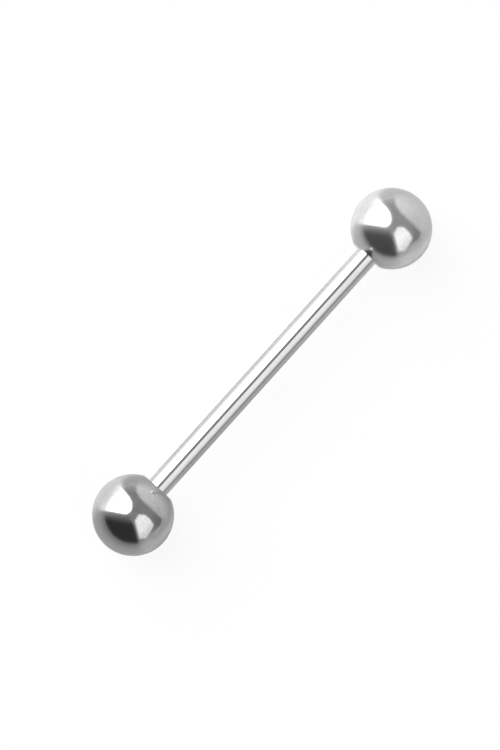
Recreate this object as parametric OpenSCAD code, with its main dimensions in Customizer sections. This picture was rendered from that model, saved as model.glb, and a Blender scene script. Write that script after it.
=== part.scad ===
// Straight barbell for a tongue piercing: a round steel bar with a screw-on ball at each end.
// Millimetres. The bar lies along X, midway over the origin, and both balls stand on z = 0.

/* [Bar] */
// Diameter of the bar, 14 gauge
bar_d = 1.63; // [1.55:0.01:1.8]
// Length of bar that shows between the seats of the two balls
bar_len = 22.2; // [12:0.1:38]

/* [Balls] */
// Diameter of each ball
ball_d = 5.8; // [5:0.1:8]
// Diameter at which the flat seat would meet the sphere if the edge were sharp
seat_d = 2.6; // [2.5:0.05:3.2]
// Radius that rounds the edge of the seat into the sphere
seat_edge_r = 0.15; // [0.1:0.05:0.4]

/* [Threaded studs] */
// Diameter of each stud, a little under the pitch diameter of its thread
stud_d = 1.3; // [1:0.05:1.4]
// Length of each stud past the end of the plain shaft
stud_len = 2.2; // [1.5:0.1:2.6]
// Width and height of the chamfer on the tip of each stud
stud_chamfer = 0.2; // [0.05:0.05:0.3]
// Length of empty hole in a ball past the tip of its stud
hole_spare = 0.35; // [0.1:0.05:0.5]
// Included angle of the drill point at the end of the hole
drill_angle = 118; // [90:1:140]

/* [Fits] */
// Depth of the counterbore that takes the end of the plain shaft in each seat
counterbore_depth = 0.12; // [0.06:0.01:0.15]
// Gap all round the stud and the shaft inside a ball, and between the shaft's end and the ball
fit_gap = 0.03; // [0.02:0.01:0.05]

/* [Hidden] */
$fn = 96;
steel = [0.78, 0.78, 0.79];
bar_r = bar_d / 2;
ball_r = ball_d / 2;
stud_r = stud_d / 2;
hole_r = stud_r + fit_gap;
counterbore_r = bar_r + fit_gap;
seat_x = bar_len / 2;
shaft_end_x = seat_x + counterbore_depth - fit_gap;
stud_end_x = shaft_end_x + stud_len;
// height of the seat over the centre of its ball
seat_h = sqrt(ball_r ^ 2 - (seat_d / 2) ^ 2);
// centre of the arc that rounds the edge of the seat: [distance from the ball's axis, height]
edge_h = seat_h - seat_edge_r;
edge_centre = [sqrt((ball_r - seat_edge_r) ^ 2 - edge_h ^ 2), edge_h];
// wedge from that centre in which the arc runs from the seat to the sphere
edge_wedge = [edge_centre, [edge_centre.x, ball_r], 2 * edge_centre];
// heights in a ball, over its centre
counterbore_h = seat_h - counterbore_depth;
hole_end_h = seat_h - (stud_end_x - seat_x + hole_spare);
drill_point_h = hole_end_h - hole_r / tan(drill_angle / 2);

// Everything below is turned: half sections have x as the distance from the axis of turning.

// Half section of a ball with its seat upwards, before it is drilled.
module ball_blank_section() {
    difference() {
        intersection() {
            circle(r = ball_r);
            translate([0, -ball_r]) square([ball_r, ball_r + seat_h]);
        }
        polygon(edge_wedge);
    }
    intersection() {
        translate(edge_centre) circle(r = seat_edge_r);
        polygon(edge_wedge);
    }
}

// Half section of the blind hole for the stud, with its counterbore and drill point.
module ball_hole_section() {
    polygon([
        [0, ball_r], [counterbore_r, ball_r], [counterbore_r, counterbore_h],
        [hole_r, counterbore_h], [hole_r, hole_end_h], [0, drill_point_h]
    ]);
}

// One ball, about the origin, with its seat facing +Z.
module ball() {
    rotate_extrude() difference() {
        ball_blank_section();
        ball_hole_section();
    }
}

// Half section of the whole bar, from the tip of one stud to the tip of the other.
module bar_section() {
    upper = [
        [bar_r, shaft_end_x], [stud_r, shaft_end_x], [stud_r, stud_end_x - stud_chamfer],
        [stud_r - stud_chamfer, stud_end_x], [0, stud_end_x]
    ];
    lower = [for (i = [len(upper) - 1:-1:0]) [upper[i].x, -upper[i].y]];
    polygon(concat(upper, lower));
}

// A ball as it sits on the +X end of the bar, turned about Z: a turn of 180 puts it on the -X end.
module ball_on_bar(turn) {
    color(steel) rotate([0, 0, turn]) translate([seat_x + seat_h, 0, ball_r]) rotate([0, -90, 0]) ball();
}

module bar() {
    color(steel) translate([0, 0, ball_r]) rotate([0, 90, 0]) rotate_extrude() bar_section();
}

module top_ball() {
    ball_on_bar(0);
}

module bottom_ball() {
    ball_on_bar(180);
}

bar();
top_ball();
bottom_ball();
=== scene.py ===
import math

import bpy
import numpy as np
from mathutils import Matrix, Vector


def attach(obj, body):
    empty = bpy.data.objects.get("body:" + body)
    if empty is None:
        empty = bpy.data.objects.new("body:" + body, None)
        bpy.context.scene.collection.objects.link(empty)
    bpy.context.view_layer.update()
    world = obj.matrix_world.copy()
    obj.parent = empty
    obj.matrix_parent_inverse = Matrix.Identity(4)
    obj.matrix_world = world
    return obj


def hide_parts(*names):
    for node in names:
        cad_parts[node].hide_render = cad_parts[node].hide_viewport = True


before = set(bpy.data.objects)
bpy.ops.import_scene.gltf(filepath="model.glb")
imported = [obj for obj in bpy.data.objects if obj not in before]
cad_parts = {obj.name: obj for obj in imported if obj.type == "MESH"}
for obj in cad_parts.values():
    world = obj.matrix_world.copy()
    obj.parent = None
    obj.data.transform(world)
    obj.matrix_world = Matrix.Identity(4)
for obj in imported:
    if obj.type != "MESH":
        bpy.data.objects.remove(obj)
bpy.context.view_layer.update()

# Driving sizes, in millimetres
MM = 0.001
BALL_R = 2.9
BAR_R = 0.815
SEAT_X = 11.1                    # plane of each ball's flat seat, from the middle of the bar
SEAT_SHARP_R = 1.3               # where the seat would meet the sphere if its edge were sharp
SEAT_EDGE_R = 0.15
COUNTERBORE_DEPTH = 0.12
FIT_GAP = 0.03                   # round the shaft in its counterbore, and between its end and the ball
STUD_LEN = 2.2
STUD_CHAMFER = 0.2
HOLE_SPARE = 0.35                # length of hole past the tip of the stud
DRILL_ANGLE = 118

# Thread M1.6 x 0.35: the ball's is the stud's, grown by a running gap
PITCH = 0.35
STUD_CREST_R, STUD_ROOT_R = 0.785, 0.600
THREAD_GAP = 0.025
HOLE_GROOVE_R, HOLE_CREST_R = STUD_CREST_R + THREAD_GAP, STUD_ROOT_R + THREAD_GAP
FLANK_START, FLANK_END = 0.14, 0.82              # from crest to root, in halves of a pitch
STUD_RELIEF, HOLE_RELIEF = 0.22, 0.12            # length without thread at the foot of each
STUD_FADE, HOLE_FADE = 1.2, 0.8                  # how steeply each thread dies out there

# Radii of the small roundings
MOUTH_EDGE_R, COUNTERBORE_FOOT_R = 0.035, 0.02
SHOULDER_EDGE_R, STUD_FOOT_R = 0.03, 0.06

# Places that follow, with x along the bar from its middle
AXIS_H = BALL_R                  # height of the bar's axis, because the balls stand on the floor
BALL_X = SEAT_X + math.sqrt(BALL_R ** 2 - SEAT_SHARP_R ** 2)
COUNTERBORE_R = BAR_R + FIT_GAP
COUNTERBORE_X = SEAT_X + COUNTERBORE_DEPTH
SHAFT_END_X = COUNTERBORE_X - FIT_GAP
STUD_END_X = SHAFT_END_X + STUD_LEN
HOLE_END_X = STUD_END_X + HOLE_SPARE
DRILL_POINT_X = HOLE_END_X + HOLE_CREST_R / math.tan(math.radians(DRILL_ANGLE / 2))

# How fine the meshes are
BALL_SIDES, BAR_SIDES = 144, 96
SPHERE_STEPS, EDGE_STEPS, FILLET_STEPS = 72, 8, 4
ROWS_PER_TURN = 16
LONG_RUN, END_RUN = 0.06, 0.012  # a straight run longer than the first gets a ring that near each end
SHOULDER_RUN = 0.2               # how far along the shaft the rings of a stud go
GROOVE_STEP = 0.005              # how far the counterbore's last ring is outside the thread's grooves


# Meshes
def angles(sides):
    return np.arange(sides) * 2 * math.pi / sides


def rounded(start, corners, end):
    """Rings (x, r) on a path from start to end, round corners (x, r, radius of the rounding)."""
    points = [np.array(p, float) for p in (start, *(c[:2] for c in corners), end)]
    path = [points[0]]
    for before, here, after, corner in zip(points, points[1:], points[2:], corners):
        fillet = corner[2]
        u, v = before - here, after - here
        u, v = u / np.linalg.norm(u), v / np.linalg.norm(v)
        half = math.acos(np.clip(u @ v, -1, 1)) / 2
        run = fillet / math.tan(half)
        mid = (u + v) / np.linalg.norm(u + v)
        centre = here + mid * fillet / math.sin(half)
        a, b = here + u * run - centre, here + v * run - centre
        turn = math.acos(np.clip(a @ b / fillet ** 2, -1, 1))
        for k in range(FILLET_STEPS + 1):
            t = k / FILLET_STEPS
            path.append(centre + (math.sin((1 - t) * turn) * a + math.sin(t * turn) * b) / math.sin(turn))
    path.append(points[-1])
    rings = [tuple(path[0])]
    for p, q in zip(path, path[1:]):
        length = np.linalg.norm(q - p)
        if length > LONG_RUN:
            step = (q - p) * END_RUN / length
            rings += [tuple(p + step), tuple(q - step)]
        rings.append(tuple(q))
    return rings


def smooth(low, high, x):
    """0 up to low, 1 from high, and an S-curve between them."""
    t = np.clip((x - low) / (high - low), 0, 1)
    return t * t * (3 - 2 * t)


def thread_radius(x, angle, crest, root):
    """Radius of a right-handed thread at x along the axis, for every angle round it."""
    phase = (x / PITCH - angle / (2 * math.pi)) % 1
    return crest - (crest - root) * smooth(FLANK_START, FLANK_END, np.abs(2 * phase - 1))


def thread_rings(start, end, angle, crest, root, trim):
    """Rings of a thread from start to end; trim(x, r) limits the radius at its ends."""
    count = round(abs(end - start) / PITCH * ROWS_PER_TURN)
    rings = []
    for i in range(1, count):
        x = start + (end - start) * i / count
        rings.append((x, trim(x, thread_radius(x, angle, crest, root))))
    return rings


def turned(name, rings, sides, half_turn=False):
    """A closed mesh from rings about the bar's axis, the first and last of them points on the axis.

    A ring is (x, r), with r one number or one for each angle. half_turn puts the piece on the -X end.
    """
    angle = angles(sides)
    sign = -1 if half_turn else 1
    verts, faces = [], []
    for i, (x, r) in enumerate(rings):
        if i in (0, len(rings) - 1):
            verts.append([[sign * x, 0, AXIS_H]])
            continue
        r = np.broadcast_to(r, angle.shape)
        ring = [np.full(sides, sign * x), sign * r * np.cos(angle), AXIS_H + r * np.sin(angle)]
        verts.append(np.stack(ring, 1))
    verts = np.concatenate([np.array(v, float) for v in verts]) * MM
    last = len(verts) - 1
    for j in range(sides):
        k = (j + 1) % sides
        faces.append((0, 1 + k, 1 + j))
        for i in range(len(rings) - 3):
            a = 1 + i * sides
            faces.append((a + j, a + k, a + sides + k, a + sides + j))
        a = 1 + (len(rings) - 3) * sides
        faces.append((a + j, a + k, last))
    mesh = bpy.data.meshes.new(name)
    mesh.from_pydata(verts.tolist(), [], faces)
    mesh.validate()
    mesh.update()
    outwards = sum(f.center.dot(f.normal) * f.area for f in mesh.polygons)
    if outwards < 0:
        mesh.flip_normals()
    mesh.polygons.foreach_set("use_smooth", [True] * len(mesh.polygons))
    obj = bpy.data.objects.new(name, mesh)
    bpy.context.scene.collection.objects.link(obj)
    return obj


def ball_rings(angle):
    """Rings of a ball on the +X end: over its far pole, round the seat and into the threaded hole."""
    edge_h = BALL_X - SEAT_X - SEAT_EDGE_R
    edge_r = math.sqrt((BALL_R - SEAT_EDGE_R) ** 2 - edge_h ** 2)
    start = math.atan2(edge_r, -edge_h)              # where the edge arc leaves the sphere
    rings = [(BALL_X + BALL_R, 0)]
    for i in range(1, SPHERE_STEPS + 1):
        a = start * i / SPHERE_STEPS
        rings.append((BALL_X + BALL_R * math.cos(a), BALL_R * math.sin(a)))
    for i in range(1, EDGE_STEPS + 1):
        a = start + (math.pi - start) * i / EDGE_STEPS
        rings.append((BALL_X - edge_h + SEAT_EDGE_R * math.cos(a), edge_r + SEAT_EDGE_R * math.sin(a)))
    mouth = rounded((SEAT_X, edge_r), [
        (SEAT_X, COUNTERBORE_R, MOUTH_EDGE_R), (COUNTERBORE_X, COUNTERBORE_R, COUNTERBORE_FOOT_R),
    ], (COUNTERBORE_X, HOLE_GROOVE_R + GROOVE_STEP))
    rings += mouth[1:]

    def trim(x, r):
        r = np.maximum(r, HOLE_GROOVE_R - (x - COUNTERBORE_X))
        return np.minimum(r, HOLE_CREST_R + max(0, (HOLE_END_X - HOLE_RELIEF - x) * HOLE_FADE))

    rings += thread_rings(COUNTERBORE_X, HOLE_END_X, angle, HOLE_GROOVE_R, HOLE_CREST_R, trim)
    rings += rounded((HOLE_END_X, HOLE_CREST_R), [], (DRILL_POINT_X, 0))
    return rings


def stud_rings(angle):
    """Rings from the tip of a stud to the edge of its shoulder, on the +X end."""
    tip_r = STUD_CREST_R - STUD_CHAMFER
    relief_x = SHAFT_END_X + STUD_RELIEF

    def trim(x, r):
        r = np.minimum(r, tip_r + (STUD_END_X - x))
        return np.minimum(r, STUD_ROOT_R + max(0, (x - relief_x) * STUD_FADE))

    rings = rounded((STUD_END_X, 0), [], (STUD_END_X, tip_r))
    rings += thread_rings(STUD_END_X, relief_x, angle, STUD_CREST_R, STUD_ROOT_R, trim)
    rings += rounded((relief_x, STUD_ROOT_R), [
        (SHAFT_END_X, STUD_ROOT_R, STUD_FOOT_R), (SHAFT_END_X, BAR_R, SHOULDER_EDGE_R),
    ], (SHAFT_END_X - SHOULDER_RUN, BAR_R))
    return rings


ball = ball_rings(angles(BALL_SIDES))
top_ball = turned("polished_top_ball", ball, BALL_SIDES)
bottom_ball = turned("polished_bottom_ball", ball, BALL_SIDES, half_turn=True)

# the other stud is this one turned half-way round Z, so its ring at -x has the radii of angle 180 - a
stud = stud_rings(angles(BAR_SIDES))
mirrored = (BAR_SIDES // 2 - np.arange(BAR_SIDES)) % BAR_SIDES
other = [(-x, np.broadcast_to(r, BAR_SIDES)[mirrored]) for x, r in reversed(stud)]
bar = turned("threaded_bar", stud + other, BAR_SIDES)


# Materials
class Nodes:
    """Short names for building a node tree."""

    def __init__(self, tree):
        self.tree = tree
        tree.nodes.clear()

    def add(self, kind, **settings):
        node = self.tree.nodes.new(kind)
        for key, value in settings.items():
            setattr(node, key, value)
        return node

    def link(self, source, target):
        self.tree.links.new(source, target)

    def put(self, socket, value):
        if isinstance(value, bpy.types.NodeSocket):
            self.link(value, socket)
        else:
            socket.default_value = value

    def math(self, operation, a, b=0.0):
        node = self.add("ShaderNodeMath", operation=operation)
        self.put(node.inputs[0], a)
        self.put(node.inputs[1], b)
        return node.outputs[0]

    def layers(self, base, *layers):
        """base plus each (pattern, amount)."""
        for pattern, amount in layers:
            base = self.math("ADD", base, self.math("MULTIPLY", pattern, amount))
        return base

    def vector(self, operation, a, b=(0, 0, 0)):
        node = self.add("ShaderNodeVectorMath", operation=operation)
        self.put(node.inputs[0], a)
        self.put(node.inputs[1], b)
        return node.outputs["Value" if operation in ("DOT_PRODUCT", "LENGTH") else "Vector"]

    def split(self, vector):
        node = self.add("ShaderNodeSeparateXYZ")
        self.link(vector, node.inputs[0])
        return node.outputs

    def ramp(self, value, low, high, to_low=0.0, to_high=1.0, kind="SMOOTHSTEP"):
        node = self.add("ShaderNodeMapRange", interpolation_type=kind, clamp=True)
        for i, v in enumerate((value, low, high, to_low, to_high)):
            self.put(node.inputs[i], v)
        return node.outputs[0]

    def blend(self, factor, a, b):
        node = self.add("ShaderNodeMix", data_type="FLOAT")
        self.put(node.inputs[0], factor)
        self.put(node.inputs[2], a)
        self.put(node.inputs[3], b)
        return node.outputs[0]

    def noise(self, vector, scale, detail, rough=0.5):
        node = self.add("ShaderNodeTexNoise")
        self.link(vector, node.inputs["Vector"])
        node.inputs["Scale"].default_value = scale
        node.inputs["Detail"].default_value = detail
        node.inputs["Roughness"].default_value = rough
        return node.outputs["Fac"]

    def stretched(self, vector, along, across, detail, rough=0.5):
        """Noise with one scale along the bar and one across it."""
        scaled = self.vector("MULTIPLY", vector, (along, across, across))
        return self.noise(scaled, 1.0, detail, rough)

    def colour(self, red, green, blue):
        node = self.add("ShaderNodeCombineColor")
        for socket, value in zip(node.inputs, (red, green, blue)):
            self.link(value, socket)
        return node.outputs[0]

    def bump(self, height, distance, normal=None):
        node = self.add("ShaderNodeBump")
        node.inputs["Strength"].default_value = 1.0
        node.inputs["Distance"].default_value = distance
        self.put(node.inputs["Height"], height)
        if normal is not None:
            self.link(normal, node.inputs["Normal"])
        return node.outputs[0]

    def white(self, kind, strength):
        """A white emission or background."""
        node = self.add(kind)
        node.inputs[0].default_value = (1, 1, 1, 1)
        self.put(node.inputs[1], strength)
        return node.outputs[0]

    def mix_shader(self, factor, a, b):
        node = self.add("ShaderNodeMixShader")
        for socket, source in zip(node.inputs, (factor, a, b)):
            self.link(source, socket)
        return node.outputs[0]


# How much each kind of mark changes the steel's grey and its roughness
GRAIN_TONE, CLOUD_TONE, STREAK_TONE, HAIR_TONE = 0.12, 0.06, 0.32, -0.06
CLOUD_ROUGH, HAIR_ROUGH, GRAIN_ROUGH = 0.06, 0.06, 0.02
HAIR_WIDTH = 0.006
BLUE = 1.012                     # steel is a touch bluer than grey

# Machined faces, with the places between which they take over from the polish
MACHINED_TONE, MACHINED_ROUGH = 0.72, 0.30
SEAT_SHARE = 0.35                # how machined a ball's seat looks beside its hole
TOOL_PITCH = 0.05                # between tool marks, in millimetres
BELOW_SHAFT = (BAR_R - 0.015, BAR_R - 0.025)
WITHIN_HOLE = (COUNTERBORE_R + 0.003, COUNTERBORE_R - 0.007)
SHORT_OF_POLE = (DRILL_POINT_X + 0.4, DRILL_POINT_X + 0.3)
ON_SEAT = (SEAT_X + 0.008, SEAT_X + 0.002)

# Heights of the bumps, in metres
WAVE_H, TOOL_MARK_H = 2.2e-6, 0.5e-6
BAR_GRAIN_H, BALL_GRAIN_H = 1.2e-7, 0.6e-7

# The bottom ball and the top one, which is a little paler and softer, with a faint haze; the top one's paler
# grey is painted light, and the bottom one's darker grey is painted shade
BALL_PAINTED_SHADE_AND_LIGHT, BALL_ROUGHS, BALL_METALLIC = (0.95, 1.13), (-0.01, 0.03), (1.0, 0.95)


def bar_marks(n, place, radius):
    """Machined studs and shoulders, and lengthwise grain, waves and streaks."""
    machined = n.ramp(radius, *BELOW_SHAFT)
    grain = n.stretched(place, along=0.12, across=7.0, detail=3.0)
    wave = n.stretched(place, along=0.25, across=1.2, detail=1.0)
    streak = n.stretched(place, along=0.3, across=12.0, detail=4.0, rough=0.7)
    return machined, grain, wave, streak


def ball_marks(n, place, radius, along):
    """A machined hole and seat, grain, waves, and buffing streaks in short arcs round the bar's axis."""
    in_hole = n.math("MULTIPLY", n.ramp(radius, *WITHIN_HOLE), n.ramp(along, *SHORT_OF_POLE))
    on_seat = n.math("MULTIPLY", n.ramp(along, *ON_SEAT), SEAT_SHARE)
    machined = n.math("MAXIMUM", in_hole, on_seat)
    grain = n.noise(place, scale=5.0, detail=4.0, rough=0.6)
    wave = n.noise(place, scale=0.7, detail=1.0)
    streak = n.stretched(place, along=12.0, across=2.5, detail=4.0, rough=0.7)
    return machined, grain, wave, streak


def steel(name, body_tone, polish, is_ball):
    """Polished steel, with body_tone its grey and polish its roughness."""
    material = bpy.data.materials.new(name)
    material.use_nodes = True
    n = Nodes(material.node_tree)
    out = n.add("ShaderNodeOutputMaterial")
    shader = n.add("ShaderNodeBsdfPrincipled")
    n.link(shader.outputs[0], out.inputs[0])
    shader.inputs["Metallic"].default_value = 1.0

    place = n.vector("MULTIPLY", n.add("ShaderNodeTexCoord").outputs["Object"], (1 / MM,) * 3)
    x, y, z = n.split(place)
    across = n.math("SUBTRACT", z, AXIS_H)
    radius = n.math("SQRT", n.math("ADD", n.math("MULTIPLY", y, y), n.math("MULTIPLY", across, across)))
    along = n.math("ABSOLUTE", x)
    if is_ball:
        machined, grain, wave, streak = ball_marks(n, place, radius, along)
    else:
        machined, grain, wave, streak = bar_marks(n, place, radius)

    # hairlines: thin contours of a slow noise
    slow = n.noise(place, scale=0.9, detail=3.0, rough=0.55)
    hair = n.ramp(n.math("ABSOLUTE", n.math("SUBTRACT", slow, 0.5)), HAIR_WIDTH, 0.0)
    cloud = n.noise(place, scale=1.7, detail=3.0)

    # a noise is 0.5 on average, so half of its amount comes off first
    tone = body_tone - (GRAIN_TONE + CLOUD_TONE + STREAK_TONE) / 2
    tone = n.layers(tone, (grain, GRAIN_TONE), (cloud, CLOUD_TONE), (streak, STREAK_TONE), (hair, HAIR_TONE))
    tone = n.blend(machined, tone, body_tone * MACHINED_TONE)
    rough = polish - CLOUD_ROUGH / 2
    rough = n.layers(rough, (cloud, CLOUD_ROUGH), (hair, HAIR_ROUGH), (grain, GRAIN_ROUGH))
    if is_ball:
        ends = (x, -SEAT_X, SEAT_X)
        # painted shade and light: the grey runs from darker on the bottom ball to paler on the top one
        tone = n.math("MULTIPLY", tone, n.ramp(*ends, *BALL_PAINTED_SHADE_AND_LIGHT))
        rough = n.math("ADD", rough, n.ramp(*ends, *BALL_ROUGHS))
        n.link(n.ramp(*ends, *BALL_METALLIC), shader.inputs["Metallic"])
    n.link(n.colour(tone, tone, n.math("MULTIPLY", tone, BLUE)), shader.inputs["Base Color"])
    n.link(n.blend(machined, rough, MACHINED_ROUGH), shader.inputs["Roughness"])

    normal = n.bump(wave, WAVE_H)
    normal = n.bump(grain, BALL_GRAIN_H if is_ball else BAR_GRAIN_H, normal)
    turns = n.math("MULTIPLY", n.math("ADD", radius, along), 2 * math.pi / TOOL_PITCH)
    normal = n.bump(n.math("MULTIPLY", n.math("SINE", turns), machined), TOOL_MARK_H, normal)
    n.link(normal, shader.inputs["Normal"])
    return material


bar_steel = steel("bar_steel", body_tone=0.70, polish=0.10, is_ball=False)
ball_steel = steel("ball_steel", body_tone=0.74, polish=0.12, is_ball=True)

for piece, body, slot, material in (
    (bar, "bar", "bar_steel", bar_steel),
    (top_ball, "top_ball", "ball_steel", ball_steel),
    (bottom_ball, "bottom_ball", "ball_steel", ball_steel),
):
    piece.data.materials.append(material)
    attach(piece, body)
    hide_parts(body)

# Camera, in metres
ROLL = math.radians(47.96)       # how far the bar's +X points up from the picture's right
LEAN = math.radians(2.8)         # how far the camera leans towards the bar's -X end
DISTANCE = 0.500
PIXELS_PER_M = 14106.0           # at the bar, in the 500 x 750 picture
OFFSET_RIGHT, OFFSET_UP = 12.40, 3.45            # of the bar's middle from the picture's, in pixels
PICTURE_HIGH = 750
SENSOR = 36                      # in millimetres, like the lens

along_bar = Vector((math.cos(LEAN), 0, math.sin(LEAN)))
across_bar = Vector((0, 1, 0))
right = along_bar * math.cos(ROLL) - across_bar * math.sin(ROLL)
up = along_bar * math.sin(ROLL) + across_bar * math.cos(ROLL)
back = right.cross(up)
centre = Vector((0, 0, AXIS_H * MM))
position = centre + back * DISTANCE - right * OFFSET_RIGHT / PIXELS_PER_M - up * OFFSET_UP / PIXELS_PER_M

camera = bpy.data.objects.new("camera", bpy.data.cameras.new("camera"))
bpy.context.scene.collection.objects.link(camera)
camera.data.sensor_width = SENSOR
camera.data.lens = SENSOR * DISTANCE * PIXELS_PER_M / PICTURE_HIGH
camera.data.clip_start, camera.data.clip_end = 0.005, 20
turn = Matrix((right, up, back)).transposed().to_4x4()
turn.translation = position
camera.matrix_world = turn
bpy.context.scene.camera = camera

# Floor, in metres
FLOOR_HALF = 4
PAPER_ROUGH, PAPER_SHEEN = 0.25, 1.0
PAPER_GREY, PAPER_LIGHT = 0.62, 1.12             # of the paper as the camera sees it
LIT_SHARE = 0.8                                  # how much of that is its own light
BACKDROP = 0.80                                  # how bright the camera sees what is far behind
NEAR, FAR = 0.035, 0.16                          # between them the paper runs into the backdrop
MIRRORED_SHADE_TO_LIGHT_GREYS = (0.43, 0.74)                    # of the paper as the steel sees it: painted shade at the -X end, painted light at the +X end
MIRRORED_END = 0.045                             # where it has those greys, on the -X and the +X side
FOOT_PAINTED_LIGHT = 0.35                                 # how much paler it is beside the balls' feet, painted light over their shadow
FOOT_INNER, FOOT_OUTER = (0.008, 0.011), (0.0185, 0.0155)     # where that sets in along the bar
FOOT_SIDE = (0.012, 0.004)                                    # and across it

floor_mesh = bpy.data.meshes.new("floor")
floor_corners = [
    (-FLOOR_HALF, -FLOOR_HALF, 0), (FLOOR_HALF, -FLOOR_HALF, 0),
    (FLOOR_HALF, FLOOR_HALF, 0), (-FLOOR_HALF, FLOOR_HALF, 0),
]
floor_mesh.from_pydata(floor_corners, [], [(0, 1, 2, 3)])
floor = bpy.data.objects.new("floor", floor_mesh)
bpy.context.scene.collection.objects.link(floor)
paper = bpy.data.materials.new("floor_paper")
paper.use_nodes = True
n = Nodes(paper.node_tree)
out = n.add("ShaderNodeOutputMaterial")
shader = n.add("ShaderNodeBsdfPrincipled")
shader.inputs["Roughness"].default_value = PAPER_ROUGH
shader.inputs["Specular IOR Level"].default_value = PAPER_SHEEN
to_camera = n.add("ShaderNodeLightPath").outputs["Is Camera Ray"]
place = n.add("ShaderNodeTexCoord").outputs["Object"]

# to the camera it is white round the part, and runs into the backdrop farther off
distant = n.ramp(n.vector("LENGTH", place), NEAR, FAR)
lit = n.white("ShaderNodeEmission", n.blend(distant, PAPER_LIGHT, BACKDROP))
lit_share = n.math("MULTIPLY", to_camera, n.blend(distant, LIT_SHARE, 1.0))

# to the steel it is grey, paler towards the bar's +X end and on both sides of the balls' feet: painted shade
# at the -X end, and painted light at the +X end and over the feet's shadow
x, y = n.split(place)[:2]
end, side = n.math("ABSOLUTE", x), n.math("ABSOLUTE", y)
# painted light beside the balls' feet, where their shadow falls
foot = n.math("MULTIPLY", n.ramp(end, *FOOT_INNER), n.ramp(end, *FOOT_OUTER))
foot = n.math("MULTIPLY", foot, n.ramp(side, *FOOT_SIDE))
# painted shade towards the -X end and painted light towards the +X end
tone = n.ramp(x, -MIRRORED_END, MIRRORED_END, *MIRRORED_SHADE_TO_LIGHT_GREYS, "LINEAR")
tone = n.math("MULTIPLY", tone, n.layers(1.0, (foot, FOOT_PAINTED_LIGHT)))
tone = n.blend(to_camera, tone, PAPER_GREY)
n.link(n.colour(tone, tone, tone), shader.inputs["Base Color"])
n.link(n.mix_shader(lit_share, shader.outputs[0], lit), out.inputs[0])
floor_mesh.materials.append(paper)

# Studio light
STUDIO_LIGHT = 0.77              # brightness of the whole room
ROOM_FOOT_LIGHT, SPILL_LIGHT = 0.55, 1.45        # and in it of the two even panels

world = bpy.data.worlds.new("studio")
bpy.context.scene.world = world
world.use_nodes = True
world.cycles.sampling_method = "MANUAL"
world.cycles.sample_map_resolution = 512
n = Nodes(world.node_tree)
out = n.add("ShaderNodeOutputWorld")

# The lights are laid out on the half sphere overhead as a mirror ball shows it from above:
# [right, up] in the picture, in ball radii.
look = n.vector("NORMALIZE", n.add("ShaderNodeTexCoord").outputs["Generated"])
height = n.split(look)[2]
shrink = n.math("SQRT", n.math("MAXIMUM", n.math("ADD", n.math("MULTIPLY", height, 2.0), 2.0), 0.01))
flat_right = (math.cos(ROLL), -math.sin(ROLL), 0)
flat_up = (math.sin(ROLL), math.cos(ROLL), 0)
u = n.math("DIVIDE", n.vector("DOT_PRODUCT", look, flat_right), shrink)
v = n.math("DIVIDE", n.vector("DOT_PRODUCT", look, flat_up), shrink)


def panel(corners, soft):
    """1 inside a convex panel with clockwise corners [right, down], fading over soft at its edges."""
    mask = None
    for (ax, ay), (bx, by) in zip(corners, corners[1:] + corners[:1]):
        ay, by = -ay, -by
        ex, ey = bx - ax, by - ay
        size = math.hypot(ex, ey)
        nx, ny = ey / size, -ex / size            # points inwards
        d = n.math("ADD", n.math("MULTIPLY", u, nx), n.math("MULTIPLY", v, ny))
        d = n.math("SUBTRACT", d, ax * nx + ay * ny)
        edge = n.ramp(d, -soft / 2, soft / 2)
        mask = edge if mask is None else n.math("MULTIPLY", mask, edge)
    return mask


def fade(direction, low, high, at_low, at_high):
    """A brightness that changes along a [right, down] direction."""
    dx, dy = direction
    d = n.math("ADD", n.math("MULTIPLY", u, dx), n.math("MULTIPLY", v, -dy))
    return n.ramp(d, low, high, at_low, at_high)


# the ceiling, paler far up and darker to the right
glow = fade((0.1, -1.0), 0.50, 0.74, at_low=0.34, at_high=0.60)
glow = n.math("MULTIPLY", glow, fade((0.95, 0.30), 0.35, 0.62, at_low=1.0, at_high=0.72))

# a pale wall at the upper right, palest at the top
pale_wall = panel([
    (0.07, -0.60), (0.2, -1.2), (1.2, -1.2), (1.2, 0.30), (0.67, 0.09), (0.46, -0.11), (0.17, -0.38),
], soft=0.10)
glow = n.blend(pale_wall, glow, fade((-0.6, -0.8), -0.45, 0.50, at_low=0.70, at_high=1.03))

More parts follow.
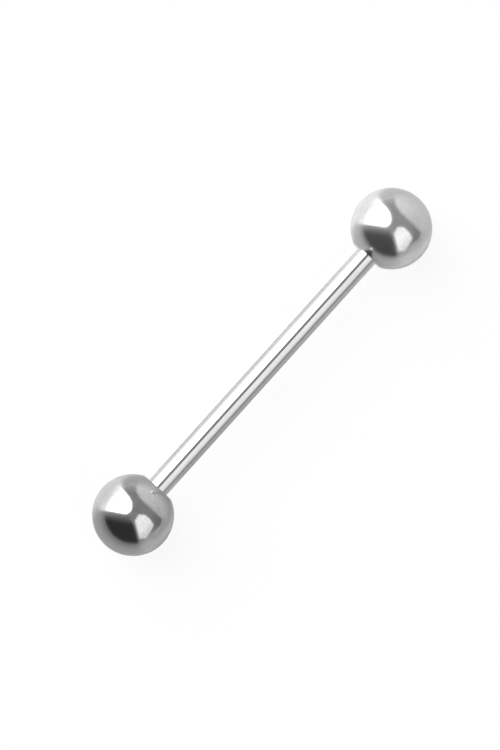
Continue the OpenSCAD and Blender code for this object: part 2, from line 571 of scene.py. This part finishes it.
# the foot of the room at the lower right
room_foot = panel([
    (0.60, 0.27), (1.2, 0.22), (1.2, 1.2), (0.0, 1.2), (0.12, 0.68), (0.42, 0.44),
], soft=0.09)
glow = n.blend(room_foot, glow, ROOM_FOOT_LIGHT)

# the dark side of the room, less dark at its near edge and at the horizon
dark_side = panel([
    (-1.2, 0.0), (-0.30, 0.0), (-0.08, 0.05), (0.02, 0.27), (0.08, 0.45), (0.16, 0.80), (-0.9, 0.80),
], soft=0.07)
dark = fade((-0.2, 1.0), 0.0, 0.29, at_low=0.33, at_high=0.045)
dark = n.math("ADD", dark, n.ramp(height, 0.18, 0.0, to_low=0.0, to_high=0.10))
glow = n.blend(dark_side, glow, dark)

# spill beside the large softbox
spill = panel([(-1.3, -0.10), (-1.3, -1.3), (-0.26, -1.3), (-0.23, -0.64), (-0.45, -0.10)], soft=0.10)
glow = n.blend(spill, glow, SPILL_LIGHT)

# the large softbox, dimmer along its far edge
large_box = panel([
    (-0.68, -0.12), (-0.60, -0.36), (-0.46, -0.54), (-0.27, -0.65),
    (-0.07, -0.38), (-0.035, -0.22), (-0.07, -0.08), (-0.17, -0.018),
], soft=0.05)
glow = n.blend(large_box, glow, fade((-0.8, -0.6), 0.46, 0.70, at_low=4.5, at_high=1.5))

# the small softbox, dimmer at its far corner
small_box = panel([
    (0.035, 0.155), (0.13, -0.005), (0.28, 0.0), (0.42, 0.12),
    (0.50, 0.25), (0.42, 0.42), (0.31, 0.57), (0.16, 0.59),
], soft=0.03)
glow = n.blend(small_box, glow, fade((0.7, 0.7), 0.34, 0.58, at_low=1.50, at_high=1.10))

# the camera itself sees a plain backdrop in place of the room
room = n.white("ShaderNodeBackground", n.math("MULTIPLY", glow, STUDIO_LIGHT))
backdrop = n.white("ShaderNodeBackground", BACKDROP)
to_camera = n.add("ShaderNodeLightPath").outputs["Is Camera Ray"]
n.link(n.mix_shader(to_camera, room, backdrop), out.inputs[0])

bpy.context.scene.view_settings.view_transform = "Standard"
bpy.context.scene.view_settings.look = "None"

bpy.context.view_layer.update()
